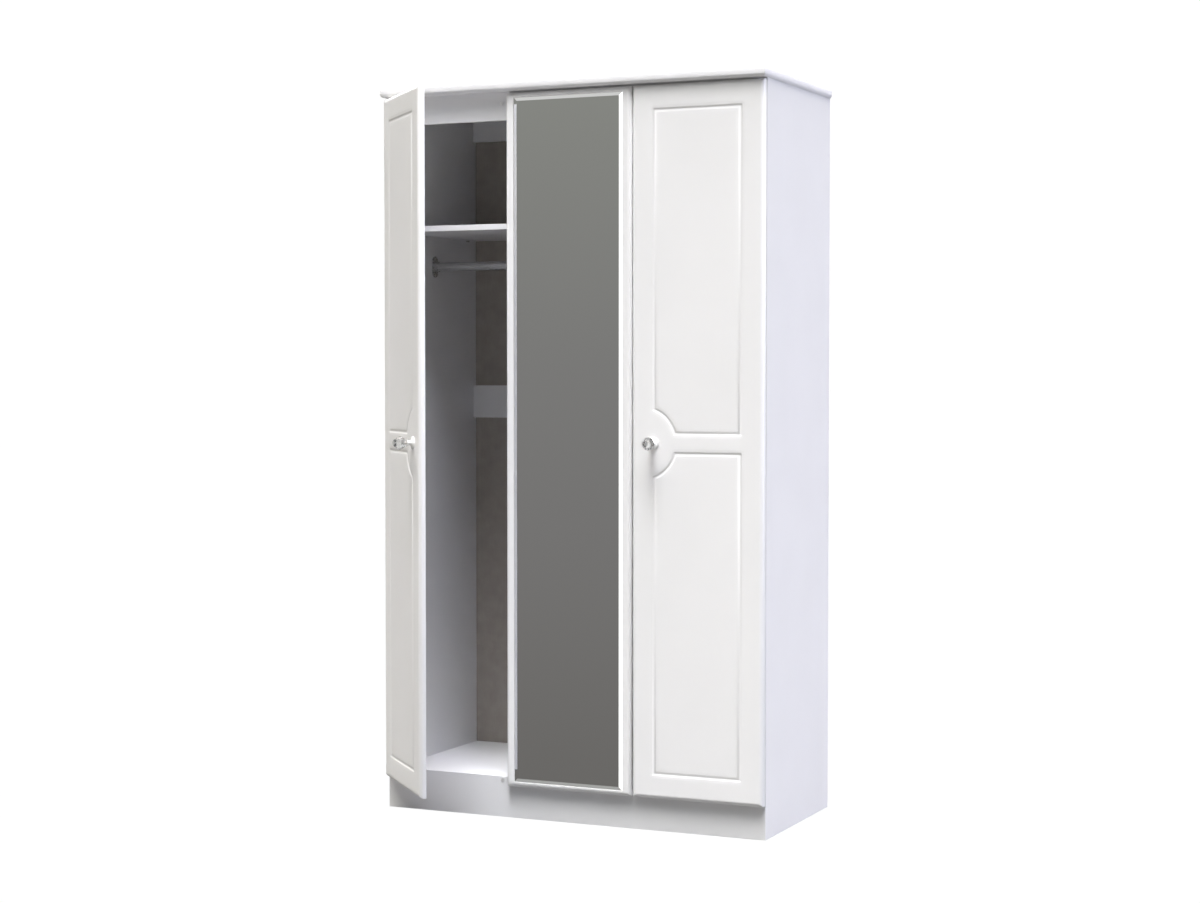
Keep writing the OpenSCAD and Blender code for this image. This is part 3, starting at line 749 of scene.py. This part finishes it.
def stage_object(name, bm, material, place=None):
    """A mesh of the studio, which isn't a part of the object."""
    mesh = bpy.data.meshes.new(name)
    bm.to_mesh(mesh)
    bm.free()
    obj = bpy.data.objects.new(name, mesh)
    bpy.context.scene.collection.objects.link(obj)
    if place:
        obj.matrix_world = place
    mesh.materials.append(material)
    return obj


def floor():
    """A matt floor that bounces light and that neither the camera nor a reflection sees."""
    size = 60
    sink = 0.5 * MM
    s = Surface("stage_floor")
    s.feed("Base Color", s.ramp(s.noise(2, 2), tones((0.12, 0.12, 0.12), 0.004)))
    s.set(Roughness=0.9, Specular_IOR_Level=0.0)
    bm = bmesh.new()
    bmesh.ops.create_grid(bm, x_segments=1, y_segments=1, size=size / 2)
    obj = stage_object("floor", bm, s.material, Matrix.Translation((0, 0, -sink)))
    obj.visible_camera = False
    obj.visible_glossy = False


def sun(name, elevation, azimuth, spread, power):
    """A soft far light on the object; azimuth 0 is straight in front and 90 is to the right.

    A lamp's place doesn't change its light, so it only has to be clear of the object.
    """
    distance = 9
    up, turn = math.radians(elevation), math.radians(azimuth)
    away = Vector(
        (math.sin(turn) * math.cos(up), -math.cos(turn) * math.cos(up), math.sin(up))
    )
    data = bpy.data.lights.new(name, "SUN")
    data.angle = math.radians(spread)
    data.energy = max(power)
    data.color = tuple(p / data.energy for p in power)
    obj = bpy.data.objects.new(name, data)
    bpy.context.scene.collection.objects.link(obj)
    obj.location = distance * away
    obj.rotation_euler = (-away).to_track_quat("-Z", "Y").to_euler()


def elevation_ramp(tree, coordinate, stops):
    """Colour by elevation above the horizon, as a share of the brightest tone, which it returns."""
    place = tree.nodes.new("ShaderNodeTexCoord")
    unit = tree.nodes.new("ShaderNodeVectorMath")
    unit.operation = "NORMALIZE"
    axes = tree.nodes.new("ShaderNodeSeparateXYZ")
    scale = tree.nodes.new("ShaderNodeMapRange")
    scale.inputs["From Min"].default_value = -1
    scale.inputs["From Max"].default_value = 1
    ramp = tree.nodes.new("ShaderNodeValToRGB")
    tree.links.new(place.outputs[coordinate], unit.inputs[0])
    tree.links.new(unit.outputs["Vector"], axes.inputs["Vector"])
    tree.links.new(axes.outputs["Z"], scale.inputs["Value"])
    tree.links.new(scale.outputs["Result"], ramp.inputs["Fac"])
    elements = ramp.color_ramp.elements
    while len(elements) < len(stops):
        elements.new(0.5)
    brightest = max(max(colour) for _, colour in stops)
    for element, (elevation, colour) in zip(elements, stops):
        element.position = (math.sin(math.radians(elevation)) + 1) / 2
        element.color = (*(c / brightest for c in colour), 1)
    return ramp.outputs["Color"], brightest


def world():
    """A bright overhead diffuser and nothing else."""
    w = bpy.data.worlds.new("studio")
    bpy.context.scene.world = w
    w.use_nodes = True
    background = w.node_tree.nodes["Background"]
    stops = (
        (-90, (0, 0, 0)),
        (52, (0, 0, 0)),
        (58, (7.98, 7.54, 6.75)),
        (90, (7.98, 7.54, 6.75)),
    )
    colour, strength = elevation_ramp(w.node_tree, "Generated", stops)
    w.node_tree.links.new(colour, background.inputs["Color"])
    background.inputs["Strength"].default_value = strength


def emitter(name):
    """A material that only shines, in white until it is told otherwise."""
    s = Surface(name)
    s.shader.inputs["Base Color"].default_value = (0, 0, 0, 1)
    s.shader.inputs["Emission Color"].default_value = (1, 1, 1, 1)
    s.set(Emission_Strength=1.0)
    return s


def glow(name, bm, place=None):
    """Something bright round the object that shows only in reflections and through the crystal."""
    s = emitter(name)
    s.set(Specular_IOR_Level=0)
    obj = stage_object(name, bm, s.material, place)
    obj.visible_camera = False
    obj.visible_diffuse = False
    obj.visible_shadow = False
    return s


def surround():
    """The studio as the mirror and the other shiny parts see it."""
    bm = bmesh.new()
    bmesh.ops.create_uvsphere(bm, u_segments=64, v_segments=32, radius=35)
    dome = glow("studio_surround", bm)
    stops = (
        (-90, (0.42, 0.42, 0.41)),
        (-22, (0.42, 0.42, 0.41)),
        (-14, (0.160, 0.155, 0.150)),
        (-9.6, (0.166, 0.160, 0.154)),
        (-2.6, (0.202, 0.197, 0.194)),
        (2.0, (0.220, 0.217, 0.212)),
        (10.5, (0.272, 0.276, 0.256)),
        (15, (0.70, 0.70, 0.69)),
        (34, (0.70, 0.70, 0.69)),
        (52, (0.30, 0.30, 0.30)),
        (58, (5.28, 4.81, 4.56)),
        (90, (5.28, 4.81, 4.56)),
    )
    colour, strength = elevation_ramp(dome.material.node_tree, "Object", stops)
    dome.feed("Emission Color", colour)
    dome.set(Emission_Strength=strength)


def front_card():
    """An upright card in front, which brightens the mirror's right bevel."""
    half_width, half_height = 1.1, 3.6
    bm = bmesh.new()
    bmesh.ops.create_grid(bm, x_segments=1, y_segments=1, size=1)
    place = Matrix.Translation((-0.4, -7, 1.9)) @ Matrix.Rotation(math.radians(90), 4, "X")
    place = place @ Matrix.Diagonal((half_width, half_height, 1, 1))
    glow("front_card", bm, place).set(Emission_Strength=2.2)


def backdrop():
    """A white surround that only the camera sees."""
    bm = bmesh.new()
    bmesh.ops.create_uvsphere(bm, u_segments=32, v_segments=16, radius=40)
    obj = stage_object("backdrop", bm, emitter("backdrop_white").material)
    obj.visible_diffuse = False
    obj.visible_glossy = False
    obj.visible_transmission = False
    obj.visible_shadow = False


world()
surround()
front_card()
backdrop()
floor()
sun("key_low", 50, 4, 16, (0.186, 0.216, 0.240))
sun("key", 72, 4, 16, (1.218, 1.268, 1.192))
sun("key_high", 80, 4, 18, (2.81, 2.80, 3.19))
sun("key_right", 60, 40, 16, (0.51, 0.552, 0.738))
sun("right_fill", 10, 98, 24, (1.10, 1.172, 1.548))
sun("left_fill", 15, -60, 24, (0.16, 0.15, 0.12))

camera_data = bpy.data.cameras.new("camera")
camera_data.sensor_width = 36
camera_data.lens = 67.35
camera = bpy.data.objects.new("camera", camera_data)
bpy.context.scene.collection.objects.link(camera)
camera.location = (2.5307, -5.8764, 1.1996)
camera.rotation_euler = (math.radians(90 - 2.013), 0, math.radians(24.425))
bpy.context.scene.camera = camera
bpy.context.scene.view_settings.view_transform = "Standard"
